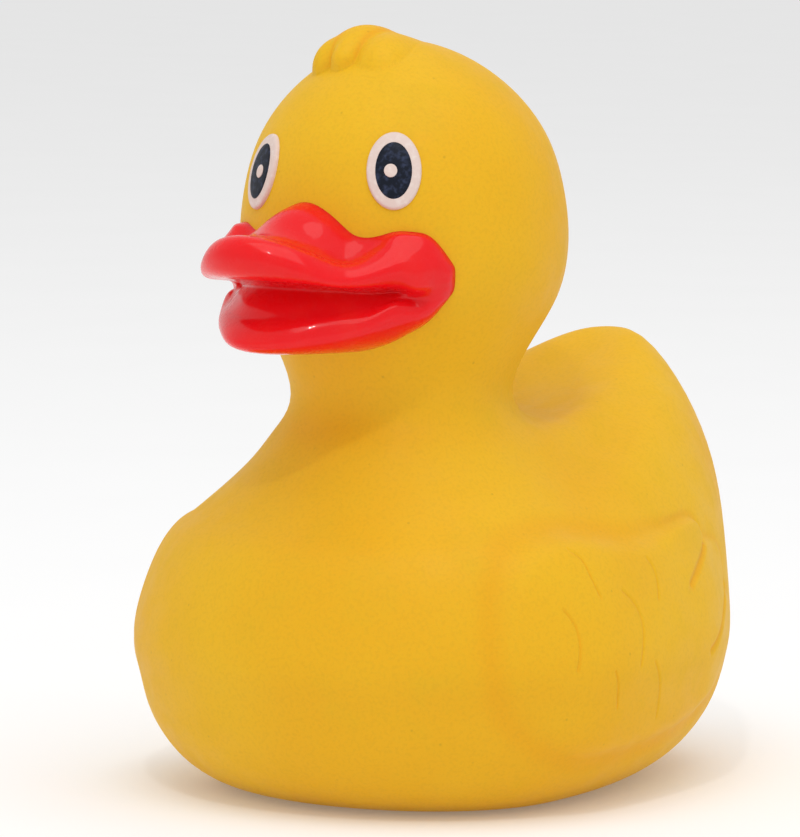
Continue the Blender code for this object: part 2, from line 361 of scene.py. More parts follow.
def new_material(name: str, view_colour: Colour) -> tuple[
        bpy.types.Material, NodeGraph, bpy.types.Node, Socket]:
    """Starts a material.

    Args:
        name: Its name.
        view_colour: Its plain colour in the viewport.

    Returns:
        The material, its graph, its Principled shader and its Object coordinates.
    """
    material = bpy.data.materials.new(name)
    material.use_nodes = True
    material.diffuse_color = view_colour
    graph = NodeGraph(material.node_tree)
    shader = material.node_tree.nodes["Principled BSDF"]
    return material, graph, shader, graph.add("ShaderNodeTexCoord").outputs["Object"]


def new_tree(name: str, sockets: dict[str, str]) -> tuple[NodeGraph, bpy.types.bpy_prop_collection]:
    """Starts a Geometry Nodes tree.

    Args:
        name: Its name.
        sockets: Its inputs beside the geometry, and the kind of each.

    Returns:
        Its graph, and what its inputs give.
    """
    tree = bpy.data.node_groups.new(name, "GeometryNodeTree")
    for label, kind in {"Geometry": "Geometry", **sockets}.items():
        tree.interface.new_socket(label, in_out="INPUT", socket_type="NodeSocket" + kind)
    tree.interface.new_socket("Geometry", in_out="OUTPUT", socket_type="NodeSocketGeometry")
    graph = NodeGraph(tree)
    return graph, graph.add("NodeGroupInput").outputs


def end_tree(graph: NodeGraph, geometry: Socket, material: Socket) -> bpy.types.NodeTree:
    """Ends a Geometry Nodes tree with a real mesh in one material.

    Args:
        graph: The tree's graph.
        geometry: What the tree has made.
        material: The material.

    Returns:
        The tree.
    """
    real = graph.add("GeometryNodeRealizeInstances", {0: geometry}).outputs[0]
    dress = graph.add("GeometryNodeSetMaterial", {"Geometry": real, "Material": material})
    graph.add("NodeGroupOutput", {0: dress.outputs[0]})
    return graph.tree


def use_tree(obj: bpy.types.Object, tree: bpy.types.NodeTree, values: dict[str, object]) -> None:
    """Gives an object a Geometry Nodes modifier with named inputs.

    Args:
        obj: The object.
        tree: The node tree.
        values: The tree's inputs, by name.
    """
    step = obj.modifiers.new(tree.name, "NODES")
    step.node_group = tree
    by_name = {item.name: item.identifier for item in tree.interface.items_tree
               if item.in_out == "INPUT"}
    for name, value in values.items():
        step[by_name[name]] = value


@dataclass(frozen=True)
class SoftVinyl:
    """Matte, slightly translucent yellow vinyl with faint specks, and painted shade darkening its
    folds and grooves.
    """

    base: Colour = (0.818, 0.472, 0.018, 1)
    warm: Colour = (0.808, 0.430, 0.014, 1)
    green: Colour = (0.738, 0.448, 0.018, 1)
    speck: Colour = (0.420, 0.240, 0.020, 1)
    # Painted shade: this deeper orange darkens the folds, grooves and slits.
    painted_shade_colour: Colour = (0.800, 0.300, 0.006, 1)
    warm_areas: Mottle = Mottle(38, 2, 0.35, 0.7)
    green_areas: Mottle = Mottle(150, 3, 0.5, 0.8)
    green_share: float = 0.45
    specks_per_metre: float = 450.0
    empty_share: float = 0.72
    speck_edge: tuple[float, float] = (0.02, 0.10)
    speck_share: float = 0.35
    # How strongly the painted shade darkens the folds, grooves and slits.
    painted_shade_share: float = 0.4
    grain: Mottle = Mottle(2600, 3, 0.42, 0.72)
    grain_share: float = 0.11
    smears: Mottle = Mottle(300, 3)
    roughness: tuple[float, float] = (0.45, 0.57)
    reliefs: tuple[Relief, ...] = (Relief(210, 2, 0.12, 0.0004), Relief(2600, 3, 0.14, 0.00012))
    subsurface: float = 0.12
    subsurface_reach: tuple[float, float, float] = (1.0, 0.45, 0.10)
    subsurface_scale: float = 0.0016
    specular: float = 0.12

    def build(self) -> bpy.types.Material:
        """Makes the material.

        Returns:
            The material.
        """
        material, graph, shader, place = new_material("soft_vinyl", self.base)
        colour = graph.blend(graph.mottle(place, self.warm_areas), self.base, self.warm)
        patches = graph.mottle(place, self.green_areas, 0.0, self.green_share)
        colour = graph.blend(patches, colour, self.green)
        cells = graph.add("ShaderNodeTexVoronoi", {"Vector": place, "Scale": self.specks_per_metre},
                          feature="F1")
        chance = graph.add("ShaderNodeSeparateColor", {0: cells.outputs["Color"]}).outputs[0]
        rare = graph.math("GREATER_THAN", chance, self.empty_share)
        dot = graph.ramp(cells.outputs["Distance"], *self.speck_edge, self.speck_share, 0.0)
        colour = graph.blend(graph.math("MULTIPLY", dot, rare), colour, self.speck)
        # Painted shade: the stored attribute darkens the colour in the wings' grooves and valleys and
        # between the tuft's locks.
        fold = graph.add("ShaderNodeAttribute", attribute_name="fold").outputs["Fac"]
        painted_shade_amount = graph.math("MULTIPLY", fold, self.painted_shade_share)
        colour = graph.blend(painted_shade_amount, colour, self.painted_shade_colour)
        grain = graph.mottle(place, self.grain, 0.0, self.grain_share)
        graph.fill(shader, {
            "Base Color": graph.blend(grain, colour, self.speck),
            "Roughness": graph.mottle(place, self.smears, *self.roughness),
            "Normal": graph.relief(place, self.reliefs),
            "Subsurface Weight": self.subsurface,
            "Subsurface Radius": self.subsurface_reach,
            "Subsurface Scale": self.subsurface_scale,
            "Specular IOR Level": self.specular})
        return material


@dataclass(frozen=True)
class Coat:
    """A finish of two colours in clouds, with an uneven roughness and a fine relief."""

    name: str
    base: Colour
    cloud: Colour
    clouds: Mottle
    smears: Mottle
    roughness: tuple[float, float]
    reliefs: tuple[Relief, ...]
    cloud_share: float = 1.0
    specular: float = 0.5
    clear_coat: float = 0.0
    clear_coat_roughness: float = 0.03
    subsurface: float = 0.0
    subsurface_reach: tuple[float, float, float] = (1.0, 0.2, 0.1)
    subsurface_scale: float = 0.05

    def build(self) -> bpy.types.Material:
        """Makes the material.

        Returns:
            The material.
        """
        material, graph, shader, place = new_material(self.name, self.base)
        share = graph.mottle(place, self.clouds, 0.0, self.cloud_share)
        graph.fill(shader, {
            "Base Color": graph.blend(share, self.base, self.cloud),
            "Roughness": graph.mottle(place, self.smears, *self.roughness),
            "Normal": graph.relief(place, self.reliefs),
            "Specular IOR Level": self.specular,
            "Coat Weight": self.clear_coat,
            "Coat Roughness": self.clear_coat_roughness,
            "Subsurface Weight": self.subsurface,
            "Subsurface Radius": self.subsurface_reach,
            "Subsurface Scale": self.subsurface_scale})
        return material


GLOSS_ENAMEL = Coat(
    "gloss_enamel", base=(0.805, 0.006, 0.010, 1), cloud=(0.820, 0.018, 0.014, 1),
    clouds=Mottle(230, 3, 0.45, 0.8), cloud_share=0.6, smears=Mottle(900), roughness=(0.22, 0.30),
    reliefs=(Relief(260, 2, 0.12, 0.0003), Relief(1900, 2, 0.06, 0.00008)), specular=0.06,
    clear_coat=0.42, clear_coat_roughness=0.04, subsurface=0.60,
    subsurface_reach=(1.0, 0.10, 0.08), subsurface_scale=0.0020)
EYE_WHITE_INK = Coat(
    "eye_white_ink", base=(0.74, 0.59, 0.53, 1), cloud=(0.80, 0.68, 0.62, 1),
    clouds=Mottle(1800, 4, 0.45, 0.75), smears=Mottle(1500), roughness=(0.36, 0.46),
    reliefs=(Relief(2400, 3, 0.06, 0.0001),), specular=0.15)
EYE_BLACK_INK = Coat(
    "eye_black_ink", base=(0.006, 0.009, 0.018, 1), cloud=(0.030, 0.040, 0.080, 1),
    clouds=Mottle(1800, 4, 0.45, 0.75), smears=Mottle(1500), roughness=(0.34, 0.44),
    reliefs=(Relief(2400, 3, 0.10, 0.0001),), specular=0.15)
NATURAL_PLASTIC = Coat(
    "natural_plastic", base=(0.74, 0.73, 0.68, 1), cloud=(0.62, 0.61, 0.56, 1),
    clouds=Mottle(420, 3, 0.35, 0.7), smears=Mottle(1200), roughness=(0.34, 0.46),
    reliefs=(Relief(3000, 2, 0.08, 0.0001),))


@dataclass(frozen=True)
class StudioFloor:
    """White floor of the studio, lit a little from below as a light table is."""

    base: Colour = (0.88, 0.88, 0.88, 1)
    cloud: Colour = (0.86, 0.86, 0.86, 1)
    clouds_per_metre: float = 30
    cloud_octaves: float = 2
    lamp_colour: Colour = (1.0, 1.0, 1.0, 1)
    glow: float = 0.13
    roughness: float = 0.9

    def build(self) -> bpy.types.Material:
        """Makes the material.

        Returns:
            The material.
        """
        material, graph, shader, place = new_material("studio_floor", self.base)
        share = graph.noise(place, self.clouds_per_metre, self.cloud_octaves)
        graph.fill(shader, {
            "Base Color": graph.blend(share, self.base, self.cloud),
            "Emission Color": self.lamp_colour,
            "Emission Strength": self.glow,
            "Roughness": self.roughness,
            "Specular IOR Level": 0.0})
        return material


@dataclass
class Waterlines:
    """The smooth body, drawn as level lines round the upright axis of the neck and head.

    A row is a height, the reaches forwards, sideways and backwards, and where the tail draws
    the same line on the centre line: its reach, height and half width.
    """

    axis_y: float = -0.00935
    base: tuple[float, float, float] = (0.0115, 0.0158, 0.0250)
    belly: tuple[float, float, float] = (0.0265, 0.0300, 0.0452)
    belly_height: float = 0.0180
    bilge_fullness: float = 0.88
    under_steps: int = 7
    normal_step: float = 0.02
    crown_margin: float = 0.05
    tail_half: float = 0.0220
    tail_onset: float = 0.75
    tail_roundness: float = 2.4
    shoulders: tuple[tuple[float, ...], ...] = (
        (0.0262, 0.0238, 0.0271, 0.0440, 0.0475, 0.0286, 0.0245),
        (0.0300, 0.0204, 0.0235, 0.0392, 0.0460, 0.0386, 0.0240),
        (0.0332, 0.0173, 0.0194, 0.0326, 0.0402, 0.0470, 0.0142),
        (0.0362, 0.0150, 0.0161, 0.0248, 0.0332, 0.0452, 0.0115),
        (0.0392, 0.0131, 0.0136, 0.0180, 0.0195, 0.0401, 0.0130),
        (0.0435, 0.0114, 0.0119, 0.0128, 0.0128, 0.0435, 0.0160))
    head: tuple[float, float, float] = (0.0162, 0.0177, 0.0192)
    head_height: float = 0.0597
    head_rise: float = 0.0215
    head_drop: float = 0.0172
    head_angles: tuple[int, ...] = (-34, -17, 0, 15, 30, 45, 60, 75, 90, 105)
    head_fullness: tuple[float, ...] = (1, 1, 1, 1.005, 1.02, 1.015, 0.99, 0.965, 1, 0.965)
    rows: np.ndarray = field(init=False)

    def __post_init__(self) -> None:
        """Draws the rows from the base's edge over the crown."""
        under = []
        for k in range(self.under_steps):
            turn = math.pi / 2 * k / self.under_steps
            rise = self.belly_height * (1 - math.cos(turn) ** self.bilge_fullness)
            run = math.sin(turn) ** self.bilge_fullness
            front, side, back = (b + (w - b) * run for b, w in zip(self.base, self.belly))
            under.append((rise, front, side, back, back, rise, self.tail_half))
        waist = (self.belly_height, *self.belly, self.belly[2], self.belly_height, self.tail_half)
        half = self.shoulders[-1][6]
        over = []
        for angle, fullness in zip(self.head_angles, self.head_fullness):
            a = math.radians(angle)
            half_height = self.head_rise if angle > 0 else self.head_drop
            rise = self.head_height + half_height * math.sin(a)
            front, side, back = (reach * math.cos(a) * fullness for reach in self.head)
            over.append((rise, front, side, back, back, rise, half))
        self.rows = np.array([*under, waist, *self.shoulders, *over])

    @property
    def crown(self) -> float:
        """The place of the crown, in rows."""
        return len(self.rows) - 2.0

    def points(self, level: np.ndarray, turn: np.ndarray) -> np.ndarray:
        """Gives points of the skin.

        Args:
            level: Places in the rows.
            turn: Angles from the front towards the duck's left, in radians.

        Returns:
            One point for each pair.
        """
        height, front, side, back, tail_reach, tail_height, tail_half = natural_spline(
            self.rows, level).T
        s, c = np.sin(turn), np.cos(turn)
        x = side * s
        y = -np.where(c > 0, front, back) * c
        onset = smoothstep(0, self.tail_onset, -c)
        tail = onset * np.exp(-np.log(2) * np.abs(x / tail_half) ** self.tail_roundness)
        y = y * (1 - tail) - tail_reach * c * tail
        z = height * (1 - tail) + tail_height * tail
        return np.stack([x, y + self.axis_y, z], -1)

    def normals(self, level: np.ndarray, turn: np.ndarray) -> np.ndarray:
        """Gives outward normals of the skin.

        Args:
            level: Places in the rows.
            turn: Angles from the front towards the duck's left, in radians.

        Returns:
            One normal for each pair.
        """
        step = self.normal_step
        low = np.clip(level - step, 0, self.crown - self.crown_margin)
        along = self.points(level, turn + step) - self.points(level, turn - step)
        up = self.points(low + 2 * step, turn) - self.points(low, turn)
        out = np.cross(along, up)
        return out / (np.linalg.norm(out, axis=1)[:, None] + 1e-12)


@dataclass
class Tuft:
    """Three locks of the moulding, combed forwards over the brow.

    A lock is a stroke across the crown, seen from above: places left of and in front of the
    neck's axis, then the half width and the height at each place.
    """

    strokes: tuple[tuple[tuple[float, ...], ...], ...] = (
        ((-1.8, 0.0, 2.0, 0.1), (-3.1, 2.6, 2.4, 1.5), (-4.3, 4.8, 2.2, 2.2),
         (-4.7, 5.9, 1.8, 1.7)),
        ((-1.2, 0.0, 2.2, 0.2), (-1.7, 2.7, 2.4, 2.1), (-1.9, 4.8, 2.1, 2.3),
         (-1.9, 6.4, 1.7, 1.8)),
        ((-0.9, 0.0, 3.3, 0.4), (0.1, 2.6, 3.4, 1.2), (1.2, 4.4, 3.1, 1.5), (1.7, 5.1, 2.7, 1.3)))
    roundness: tuple[float, ...] = (0.6, 0.6, 1.0)
    blend_power: float = 3.0
    fold_width: float = 0.55
    fold_rise: float = 0.4
    lowest: float = 0.068
    span_ahead: tuple[float, float] = (-4.0, 13.0)
    span_side: float = 9.0
    steps: int = 40

    def height(self, points: np.ndarray, axis_y: float) -> tuple[np.ndarray, np.ndarray]:
        """Gives how far the locks stand off the crown, and the painted shade where they fold against
        each other.

        Args:
            points: Points of the skin.
            axis_y: Where the neck's axis stands.

        Returns:
            For each point a height, in metres, and the share of painted shade in a fold.
        """
        left, ahead = points[:, 0] / MM, (axis_y - points[:, 1]) / MM
        fold = np.zeros(len(points))
        near = ((points[:, 2] > self.lowest) & (ahead > self.span_ahead[0])
                & (ahead < self.span_ahead[1]) & (np.abs(left) < self.span_side))
        lifts = []
        for stroke, power in zip(self.strokes, self.roundness):
            line = even_spline(np.array(stroke), self.steps)
            gap = np.hypot(left[near, None] - line[:, 0], ahead[near, None] - line[:, 1])
            dome = line[:, 3] * np.clip(1 - (gap / line[:, 2]) ** 2, 0, 1) ** power
            lifts.append(dome.max(1))
        lifts = np.sort(np.array(lifts), axis=0)
        total = np.zeros(len(points))
        total[near] = (lifts ** self.blend_power).sum(0) ** (1 / self.blend_power)
        # Painted shade along the crease where two locks meet.
        fold[near] = (np.exp(-((lifts[2] - lifts[1]) / self.fold_width) ** 2)
                      * np.clip(lifts[1] / self.fold_rise, 0, 1))
        return total * MM, fold


@dataclass
class WingMarks:
    """The pressed outline of a wing and the feather marks in it, as (y, z) in millimetres.

    The edge turns from soft to crisp over the rear and high spans. The flank and breast spans
    fade the lift along the body: from, to, and the shares at both.
    """

    outline: tuple[Line, ...] = (
        ((-19.9, 27.4), (-17.6, 28.9), (-14.7, 29.5), (-11.5, 29.6), (-8.3, 29.2), (-4.4, 28.5),
         (-0.2, 28.1), (3.9, 28.4), (8.6, 29.0), (11.6, 29.2), (13.4, 28.7), (13.9, 27.4)),
        ((14.1, 26.5), (15.5, 26.5), (18.0, 26.0), (19.6, 24.8), (19.4, 23.0)),
        ((18.6, 20.6), (20.2, 19.8), (21.2, 18.4), (21.0, 16.6)),
        ((19.9, 13.6), (17.6, 11.5), (12.4, 9.5), (5.2, 7.8), (-3.2, 6.9), (-11.2, 6.8),
         (-16.9, 8.1), (-21.2, 10.9), (-23.3, 14.4), (-23.7, 18.5), (-22.9, 22.2), (-21.6, 25.3),
         (-19.9, 27.4)))
    barbs: tuple[Line, ...] = (
        ((-13.2, 28.2), (-12.3, 27.2), (-12.1, 25.7), (-11.7, 23.5)),
        ((-8.0, 23.8), (-6.6, 22.4), (-5.9, 20.7), (-6.2, 18.8), (-7.2, 16.0)),
        ((-1.5, 26.3), (-0.9, 25.2), (-1.1, 23.6), (-1.7, 22.2)),
        ((-16.8, 22.6), (-16.0, 21.1), (-15.9, 18.9), (-16.5, 16.4)),
        ((-11.5, 15.9), (-10.9, 14.4), (-10.3, 11.9)),
        ((-4.4, 16.1), (-2.8, 13.2), (-2.3, 9.9)))
    slits: tuple[Line, ...] = (
        ((14.0, 26.9), (12.8, 25.9), (10.3, 24.6), (6.5, 22.7)),
        ((19.4, 21.0), (16.0, 18.5), (12.0, 16.4), (9.4, 15.5)))
    lift: float = 0.0007
    crisp: float = 0.0007
    soft: float = 0.0018
    valley_depth: float = 0.00022
    barb_depth: float = 0.00013
    barb_width: float = 0.00022
    slit_depth: float = 0.00030
    slit_width: float = 0.00070
    rear: tuple[float, float] = (0.0, 0.010)
    high: tuple[float, float] = (0.015, 0.023)
    edge_foot: float = -0.45
    valley_place: float = 0.55
    flank: tuple[float, float, float, float] = (0.010, 0.019, 1.0, 0.25)
    breast: tuple[float, float, float, float] = (-0.024, -0.010, 0.40, 1.0)
    # How strongly the barbs and the valley along the edge are darkened with painted shade.
    barb_shade: float = 0.6
    valley_shade: float = 0.5
    edge_steps: int = 6
    mark_steps: int = 24

    @property
    def sizes(self) -> dict[str, float]:
        """The sizes that the tree takes, by the names of its inputs."""
        return {"Lift": self.lift, "Crisp Edge": self.crisp, "Soft Edge": self.soft,
                "Valley Depth": self.valley_depth, "Barb Depth": self.barb_depth,
                "Barb Width": self.barb_width, "Slit Depth": self.slit_depth,
                "Slit Width": self.slit_width}

    def edge(self) -> np.ndarray:
        """Gives the closed outline in metres, without its last point."""
        return np.vstack([even_spline(np.array(line) * MM, self.edge_steps * len(line))[:-1]
                          for line in self.outline])

    def mark_lines(self, lines: tuple[Line, ...]) -> list[np.ndarray]:
        """Gives smooth lines through the places of some marks, in metres."""
        return [even_spline(np.array(line) * MM, self.mark_steps) for line in lines]

    def wire(self, name: str, lines: tuple[Line, ...]) -> bpy.types.Object:
        """Makes a helper whose edges run along some marks, in the plane x = 0.

        Args:
            name: Its name.
            lines: The marks.

        Returns:
            The helper.
        """
        bm = bmesh.new()
        for line in self.mark_lines(lines):
            points = [bm.verts.new((0, y, z)) for y, z in line]
            for a, b in zip(points, points[1:]):
                bm.edges.new((a, b))
        return mesh_object(name, bm)

    def plate(self) -> bpy.types.Object:
        """Makes a helper with the wing's flat outline, in the plane x = 0."""
        bm = bmesh.new()
        bm.faces.new([bm.verts.new((0, y, z)) for y, z in self.edge()])
        return mesh_object("wing_plate", bm)

    def tree(self) -> bpy.types.NodeTree:
        """Makes the tree that presses the wings into the skin and stores where painted shade darkens
        it.

        Returns:
            The tree.
        """
        graph, given = new_tree("press_wings", {
            "Plate": "Object", "Barbs": "Object", "Slits": "Object",
            **dict.fromkeys(self.sizes, "Float"), "Vinyl": "Material"})
        place = graph.add("GeometryNodeInputPosition").outputs[0]
        _, y, z = graph.add("ShaderNodeSeparateXYZ", {0: place}).outputs
        flat = graph.add("ShaderNodeCombineXYZ", {"Y": y, "Z": z}).outputs[0]
        shapes, gaps = {}, {}
        for name in ("Plate", "Barbs", "Slits"):
            info = graph.add("GeometryNodeObjectInfo", {"Object": given[name]})
            shapes[name] = info.outputs["Geometry"]
            near = graph.add("GeometryNodeProximity", {
                "Geometry": shapes[name], "Sample Position": flat}, target_element="EDGES")
            gaps[name] = near.outputs["Distance"]
        start = graph.add("ShaderNodeVectorMath", {0: flat, 1: (-CLEAR, 0, 0)}, operation="ADD")
        beam = graph.add("GeometryNodeRaycast", {
            "Target Geometry": shapes["Plate"], "Source Position": start.outputs[0],
            "Ray Direction": (1, 0, 0), "Ray Length": 1.0})
        sign = graph.math("MULTIPLY_ADD", beam.outputs["Is Hit"], 2.0, -1.0)
        inside = graph.math("MULTIPLY", gaps["Plate"], sign)
        sharp = graph.math("MULTIPLY", graph.ramp(y, *self.rear), graph.ramp(z, *self.high))
        width = graph.add("ShaderNodeMix", {
            0: sharp, 2: given["Soft Edge"], 3: given["Crisp Edge"]}, data_type="FLOAT").outputs[0]
        foot = graph.math("MULTIPLY", width, self.edge_foot)
        lift = graph.ramp(inside, foot, width, 0.0, given["Lift"])
        off_edge = graph.math("ADD", inside, graph.math("MULTIPLY", width, self.valley_place))
        valley = graph.ramp(graph.math("ABSOLUTE", off_edge), 0.0, width, 1.0, 0.0)
        lift = graph.math("SUBTRACT", lift, graph.math("MULTIPLY", valley, given["Valley Depth"]))
        fade = graph.math("MULTIPLY", graph.ramp(y, *self.flank), graph.ramp(y, *self.breast))
        lift = graph.math("MULTIPLY", lift, fade)
        barb = graph.ramp(gaps["Barbs"], 0.0, given["Barb Width"], 1.0, 0.0)
        slit = graph.ramp(gaps["Slits"], 0.0, given["Slit Width"], 1.0, 0.0)
        cuts = graph.math("ADD", graph.math("MULTIPLY", barb, given["Barb Depth"]),
                          graph.math("MULTIPLY", slit, given["Slit Depth"]))
        normal = graph.add("GeometryNodeInputNormal").outputs[0]
        outer = graph.attribute("outside", "BOOLEAN")
        pressed = graph.add("GeometryNodeSetPosition", {
            "Geometry": given["Geometry"], "Selection": outer,
            "Offset": graph.scaled(normal, graph.math("SUBTRACT", lift, cuts))})
        # Painted shade: the barbs, the valley along the wing's edge, the slits and the tuft's folds
        # are stored for the vinyl to darken its colour there.
        shade = graph.math("MAXIMUM", graph.math("MULTIPLY", barb, self.barb_shade),
                           graph.math("MULTIPLY", valley, self.valley_shade))
        shade = graph.math("MAXIMUM", graph.math("MAXIMUM", shade, slit), graph.attribute("fold"))
        shaded = graph.add("GeometryNodeStoreNamedAttribute", {
            "Geometry": pressed.outputs[0], "Name": "fold",
            "Value": graph.math("MULTIPLY", shade, outer)}, data_type="FLOAT", domain="POINT")
        return end_tree(graph, shaded.outputs[0], given["Vinyl"])


@dataclass
class VinylSkin:
    """The moulded body: outer skin, flat base, squeaker's seat and the hollow inside.

    Each row of finer is one step of splitting: how near the wings' edges, the feather marks and
    the tuft a face is split, in millimetres. The wings lie further out than flank_from and lower
    than flank_top, the tuft is higher than crown_from, and nothing is split beyond front_turn.
    """

    lines: Waterlines = field(default_factory=Waterlines)
    tuft: Tuft = field(default_factory=Tuft)
    wings: WingMarks = field(default_factory=WingMarks)
    turns: int = 200
    inner_turns: int = 40
    row_step: float = 0.18
    tuft_smoothing: int = 6
    smoothing_share: float = 0.5
    wall: float = 0.0025
    seat_radius: float = 0.0066
    seat_depth: float = 0.0013
    hole_radius: float = 0.0052
    inner_step: float = 0.8
    finer: tuple[tuple[float, float, float], ...] = (
        (3.0, 2.0, 9.0), (1.8, 1.4, 8.0), (0.0, 0.9, 0.0))
    flank_from: float = 0.012
    flank_top: float = 0.034
    crown_from: float = 0.070
    tuft_ahead: float = 0.0042
    front_turn: float = 3.0
    blocks: int = 40
    tuft_lean: tuple[float, float, float] = (0.0, -0.5, 0.5)

    def ring(self, radius: float, height: float) -> np.ndarray:
        """Gives a level ring round the origin, in step with the skin's own rings."""
        t = np.linspace(-math.pi, math.pi, self.turns, endpoint=False)
        return np.stack([radius * np.sin(t), -radius * np.cos(t), np.full(len(t), height)], -1)

    def inner_rings(self) -> list[np.ndarray]:
        """Gives the hollow's rings.

        Returns:
            The rings, from the crown down to the top of the floor.
        """
        levels = np.arange(0, self.lines.crown, self.inner_step)
        t = np.linspace(-math.pi, math.pi, self.inner_turns, endpoint=False)
        rings = []
        for level in levels[::-1]:
            at = np.full(len(t), level)
            ring = self.lines.points(at, t) - self.lines.normals(at, t) * self.wall
            ring[:, 2] = np.maximum(ring[:, 2], self.wall)
            rings.append(ring)
        top = self.lines.points(np.array([self.lines.crown]), np.zeros(1)) - (0, 0, self.wall)
        return [top] + rings

    def outer_grid(self) -> tuple[np.ndarray, np.ndarray]:
        """Gives the outer skin's grid.

        Returns:
            Its places, as level and turn, and triangles that face outwards.
        """
        t = np.linspace(-math.pi, math.pi, self.turns, endpoint=False)
        count = int(self.lines.crown / self.row_step)
        levels = np.linspace(0, self.lines.crown, count)[:-1]
        places = np.stack([np.repeat(levels, self.turns), np.tile(t, count - 1)], -1)
        places = np.vstack([places, (self.lines.crown, 0.0)])
        low = np.arange((count - 2) * self.turns).reshape(count - 2, self.turns)
        right = np.roll(low, -1, 1)
        first = np.stack([low, right, right + self.turns], -1).reshape(-1, 3)
        second = np.stack([low, right + self.turns, low + self.turns], -1).reshape(-1, 3)
        last = low[-1] + self.turns
        cap = np.stack([last, np.roll(last, -1), np.full(self.turns, len(places) - 1)], -1)
        return places, np.vstack([first, second, cap])

    @staticmethod
    def split(places: np.ndarray, tris: np.ndarray, wanted: np.ndarray) -> tuple[
            np.ndarray, np.ndarray]:
        """Halves the edges of the wanted triangles, and splits their neighbours to fit.

        Args:
            places: The vertices' places.
            tris: The triangles.
            wanted: Which triangles are wanted finer.

        Returns:
            The new places and triangles.
        """
        sides = np.stack([tris, np.roll(tris, -1, 1)], -1)
        keys, which = np.unique(np.sort(sides.reshape(-1, 2), 1), axis=0, return_inverse=True)
        which = which.reshape(-1, 3)
        cut = np.zeros(len(keys), bool)
        cut[which[wanted].ravel()] = True
        fresh = np.full(len(keys), -1)
        fresh[cut] = len(places) + np.arange(cut.sum())
        places = np.vstack([places, places[keys[cut]].mean(1)])
        middle = fresh[which]
        cuts = (middle >= 0).sum(1)
        out = [tris[cuts == 0]]
        a, b, c = tris[cuts == 3].T
        ab, bc, ca = middle[cuts == 3].T
        out += [np.stack(t, -1) for t in ((a, ab, ca), (ab, b, bc), (ca, bc, c), (ab, bc, ca))]
        for number in (1, 2):
            some, mids = tris[cuts == number], middle[cuts == number]
            odd = (mids >= 0) if number == 1 else (mids < 0)
            turn = (odd.argmax(1)[:, None] + np.arange(3)) % 3
            a, b, c = np.take_along_axis(some, turn, 1).T
            ab, bc, ca = np.take_along_axis(mids, turn, 1).T
            if number == 1:
                out += [np.stack(t, -1) for t in ((a, ab, c), (ab, b, c))]
            else:
                out += [np.stack(t, -1) for t in ((bc, c, ca), (a, b, bc), (a, bc, ca))]
        return places, np.vstack(out)

    def refine(self, places: np.ndarray, tris: np.ndarray) -> tuple[np.ndarray, np.ndarray]:
        """Splits the faces round the wings' edges, the feather marks and the tuft, in steps.

        Args:
            places: The vertices' places.
            tris: The triangles.

        Returns:
            The new places and triangles.
        """
        edge = self.wings.edge()
        marks = np.vstack(self.wings.mark_lines(self.wings.barbs + self.wings.slits))
        tip = np.array((0.0, self.lines.axis_y - self.tuft_ahead))
        for reach_edge, reach_mark, reach_tuft in self.finer:
            co = self.lines.points(*places.T)
            flat = co[:, 1:]
            side = (np.abs(co[:, 0]) > self.flank_from) & (flat[:, 1] < self.flank_top)
            near = np.zeros(len(co), bool)
            for block in np.array_split(np.nonzero(side)[0], self.blocks):
                to_edge = np.linalg.norm(flat[block, None] - edge, axis=2).min(1)
                to_mark = np.linalg.norm(flat[block, None] - marks, axis=2).min(1)
                near[block] = (to_edge < reach_edge * MM) | (to_mark < reach_mark * MM)
            gap = np.linalg.norm(co[:, :2] - tip, axis=1)
            near |= (co[:, 2] > self.crown_from) & (gap < reach_tuft * MM)
            near &= (np.abs(places[:, 1]) < self.front_turn) & (places[:, 0] < self.lines.crown)
            places, tris = self.split(places, tris, near[tris].all(1))
        return places, tris

    def raise_tuft(self, co: np.ndarray, out: np.ndarray, tris: np.ndarray) -> np.ndarray:
        """Lifts the locks out of the crown and rounds them off.

        Args:
            co: The outer skin's points, which it moves.
            out: Their outward normals.
            tris: The triangles.

        Returns:
            The share of painted shade at each point, in the folds between locks.
        """
        height, fold = self.tuft.height(co, self.lines.axis_y)
        lean = out + np.array(self.tuft_lean)
        lean /= np.linalg.norm(lean, axis=1)[:, None]
        co += lean * height[:, None]
        moved = height > 0
        sides = np.vstack([tris[:, :2], tris[:, 1:], tris[:, ::2]])
        sides = np.vstack([sides, sides[:, ::-1]])
        sides = sides[moved[sides[:, 0]]]
        share = np.bincount(sides[:, 0], minlength=len(co))
        for _ in range(self.tuft_smoothing):
            total = np.zeros_like(co)
            np.add.at(total, sides[:, 0], co[sides[:, 1]])
            even = total[moved] / share[moved, None]
            co[moved] += self.smoothing_share * (even - co[moved])
        return fold

    def shell(self) -> bpy.types.Object:
        """Makes the closed shell: outer skin, flat base, squeaker's seat and the hollow.

        Returns:
            The shell, before the wings are pressed into it.
        """
        places, tris = self.refine(*self.outer_grid())
        co = self.lines.points(*places.T)
        fold = self.raise_tuft(co, self.lines.normals(*places.T), tris)
        seat = ((self.seat_radius, 0.0), (self.seat_radius, self.seat_depth),
                (self.hole_radius, self.seat_depth), (self.hole_radius, self.wall))
        rings = [self.ring(radius, height) for radius, height in seat] + self.inner_rings()[::-1]
        faces = [tuple(tri) for tri in tris.tolist()]
        before = list(range(self.turns))
        start = len(co)
        for ring in rings:
            after = list(range(start, start + len(ring)))
            faces += self.strip(before, after)
            before, start = after, start + len(ring)
        points = np.vstack([co] + rings)
        mesh = bpy.data.meshes.new("shell")
        mesh.from_pydata(points.tolist(), [], faces)
        outside = mesh.attributes.new("outside", "BOOLEAN", "POINT")
        outside.data.foreach_set("value", np.arange(len(points)) < len(co))
